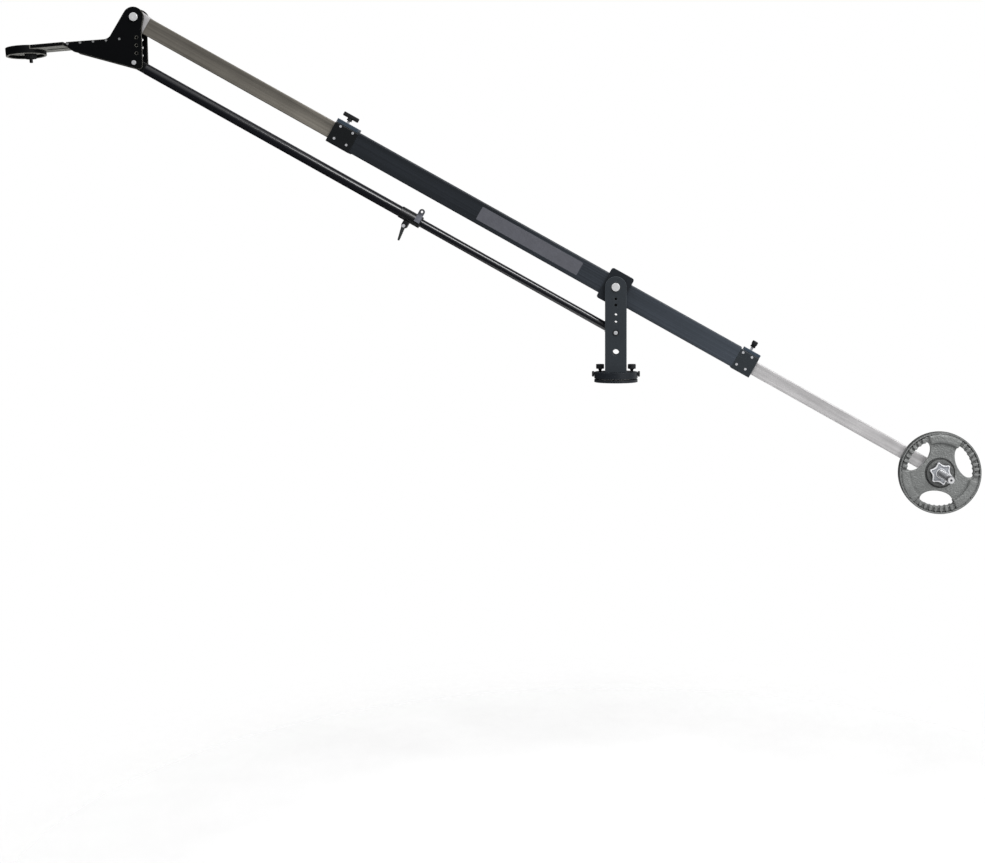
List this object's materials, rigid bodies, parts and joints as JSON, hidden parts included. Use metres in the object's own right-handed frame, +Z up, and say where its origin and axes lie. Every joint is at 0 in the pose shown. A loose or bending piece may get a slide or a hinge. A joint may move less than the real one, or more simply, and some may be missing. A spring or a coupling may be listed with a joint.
{
  "type": "camera jib crane",
  "caption": "Counterbalanced telescoping camera jib arm on a pan base, with a parallel levelling rod, a slotted camera platform and a grip weight.",
  "frame": {"origin": "centre of the base flange's underside, on the pan axis", "axes": "+Z up along the pan axis, +X horizontally towards the counterweight, the arm lies in the XZ plane with the camera head towards -X and raised"},
  "size_m": [2.8189, 0.323, 1.459],
  "materials": {
    "dark_anodised": "black anodised, fine satin",
    "grey_anodised": "dark grey anodised, satin",
    "black_coated": "black powder coat, semi-gloss",
    "mill_aluminium": "mill finish with lengthwise streaks",
    "pale_aluminium": "light brushed aluminium",
    "black_tube": "black satin tube",
    "cast_grey": "hammered grey enamel",
    "bright_steel": "bright plated",
    "plated_steel": "zinc plated",
    "black_plastic": "matt moulded",
    "nylon": "natural nylon"
  },
  "bodies": {
    "tripod_base": {"base_flange": "dark_anodised", "pan_spindle": "plated_steel", "pan_thrust_washer": "nylon"},
    "pan_head": {"turntable": "dark_anodised", "foot_block": "dark_anodised", "upright_near": "grey_anodised", "upright_far": "grey_anodised", "main_axle": "bright_steel", "axle_nut": "plated_steel", "rod_pivot_pin": "plated_steel", "rod_spacer_near": "nylon", "rod_spacer_far": "nylon"},
    "hold_knob_left": {"hold_knob_left": "black_plastic"},
    "hold_knob_right": {"hold_knob_right": "black_plastic"},
    "pan_lock_knob": {"pan_lock_knob": "black_plastic"},
    "pan_drag_knob": {"pan_drag_knob": "black_plastic"},
    "arm": {"main_tube": "dark_anodised", "pivot_bush": "nylon", "cheek_near": "dark_anodised", "cheek_far": "dark_anodised", "side_washer_near": "nylon", "side_washer_far": "nylon", "clamp_front": "dark_anodised", "clamp_front_cap": "dark_anodised", "clamp_rear": "dark_anodised", "clamp_rear_cap": "dark_anodised"},
    "knob_front": {"knob_front": "black_plastic"},
    "knob_rear": {"knob_rear": "black_plastic"},
    "front_extension": {"front_tube": "mill_aluminium", "front_lug": "pale_aluminium", "front_slide_pad": "nylon"},
    "head": {"head_plate_near": "black_coated", "head_plate_far": "black_coated", "head_pivot_pin": "bright_steel", "head_rod_pin": "plated_steel", "head_washer_near": "nylon", "head_washer_far": "nylon", "head_spacer_near": "nylon", "head_spacer_far": "nylon", "head_stand_off": "plated_steel", "platform_plate": "black_coated", "camera_ring": "black_coated"},
    "camera_knob": {"camera_knob": "black_plastic"},
    "rear_extension": {"rear_tube": "pale_aluminium", "rear_tube_plug": "black_plastic", "rear_slide_pad": "nylon", "weight_bar": "plated_steel", "bar_ring_near": "plated_steel", "bar_ring_far": "plated_steel"},
    "weight": {"weight_plate": "cast_grey"},
    "star_collar_near": {"star_collar_near": "bright_steel"},
    "star_collar_far": {"star_collar_far": "bright_steel"},
    "rod_rear": {"rod_rear_tube": "black_tube", "rod_rear_eye": "black_coated"},
    "rod_front": {"rod_front_tube": "black_tube", "rod_front_eye": "black_coated", "rod_collar": "black_coated", "rod_ear": "black_coated", "collar_bolt": "plated_steel"},
    "rod_lever": {"rod_lever": "black_plastic"}
  },
  "joints": [
    {"name": "pan", "type": "hinge", "parent": "tripod_base", "child": "pan_head", "pos_m": [0, 0, 0.02], "axis": [0, 0, 1], "continuous": true},
    {"name": "boom_tilt", "type": "hinge", "parent": "pan_head", "child": "arm", "pos_m": [0, 0, 0.2755], "axis": [0, 1, 0], "range_deg": [-69.3, 18]},
    {"name": "front_extend", "type": "slide", "parent": "arm", "child": "front_extension", "axis": [-0.8725, 0, 0.4886], "range_m": [-0.4, 0.2]},
    {"name": "head_level", "type": "hinge", "parent": "front_extension", "child": "head", "pos_m": [-1.38901, 0, 1.05339], "axis": [0, 1, 0], "range_deg": [-18, 69.3]},
    {"name": "rod_swing", "type": "hinge", "parent": "pan_head", "child": "rod_rear", "pos_m": [0, 0, 0.1445], "axis": [0, 1, 0], "range_deg": [-69.3, 18]},
    {"name": "rod_extend", "type": "slide", "parent": "rod_rear", "child": "rod_front", "axis": [-0.8725, 0, 0.4886], "range_m": [-0.4, 0.2]},
    {"name": "rear_extend", "type": "slide", "parent": "arm", "child": "rear_extension", "axis": [0.8725, 0, -0.4886], "range_m": [-0.13, 0.13]},
    {"name": "weight_turn", "type": "hinge", "parent": "rear_extension", "child": "weight", "pos_m": [0.93069, 0, -0.25717], "axis": [0, 1, 0], "continuous": true},
    {"name": "star_near_turn", "type": "hinge", "parent": "rear_extension", "child": "star_collar_near", "pos_m": [0.93069, 0, -0.25717], "axis": [0, 1, 0], "continuous": true},
    {"name": "star_far_turn", "type": "hinge", "parent": "rear_extension", "child": "star_collar_far", "pos_m": [0.93069, 0, -0.25717], "axis": [0, 1, 0], "continuous": true},
    {"name": "knob_front_turn", "type": "hinge", "parent": "arm", "child": "knob_front", "pos_m": [-0.78256, 0, 0.74011], "axis": [0.4886, 0, 0.8725], "range_deg": [-180, 180]},
    {"name": "knob_rear_turn", "type": "hinge", "parent": "arm", "child": "knob_rear", "pos_m": [0.38693, 0, 0.08517], "axis": [0.4886, 0, 0.8725], "range_deg": [-180, 180]},
    {"name": "rod_lever_turn", "type": "hinge", "parent": "rod_front", "child": "rod_lever", "pos_m": [-0.61436, 0, 0.45245], "axis": [0, 1, 0], "range_deg": [-60, 60]},
    {"name": "hold_left_turn", "type": "hinge", "parent": "pan_head", "child": "hold_knob_left", "pos_m": [-0.046, 0, 0.04], "axis": [0, 0, 1], "range_deg": [-180, 180]},
    {"name": "hold_right_turn", "type": "hinge", "parent": "pan_head", "child": "hold_knob_right", "pos_m": [0.046, 0, 0.04], "axis": [0, 0, 1], "range_deg": [-180, 180]},
    {"name": "pan_lock_turn", "type": "hinge", "parent": "pan_head", "child": "pan_lock_knob", "pos_m": [-0.063, 0, 0.0235], "axis": [1, 0, 0], "range_deg": [-180, 180]},
    {"name": "pan_drag_turn", "type": "hinge", "parent": "pan_head", "child": "pan_drag_knob", "pos_m": [0.063, 0, 0.0235], "axis": [1, 0, 0], "range_deg": [-180, 180]},
    {"name": "camera_knob_turn", "type": "hinge", "parent": "head", "child": "camera_knob", "pos_m": [-1.69974, 0, 0.95042], "axis": [-0.0837, 0, 0.9965], "range_deg": [-180, 180]}
  ],
  "couplings": [
    {"joint": "head_level", "follows": "boom_tilt", "ratio": -1},
    {"joint": "rod_swing", "follows": "boom_tilt", "ratio": 1},
    {"joint": "rod_extend", "follows": "front_extend", "ratio": 1}
  ]
}
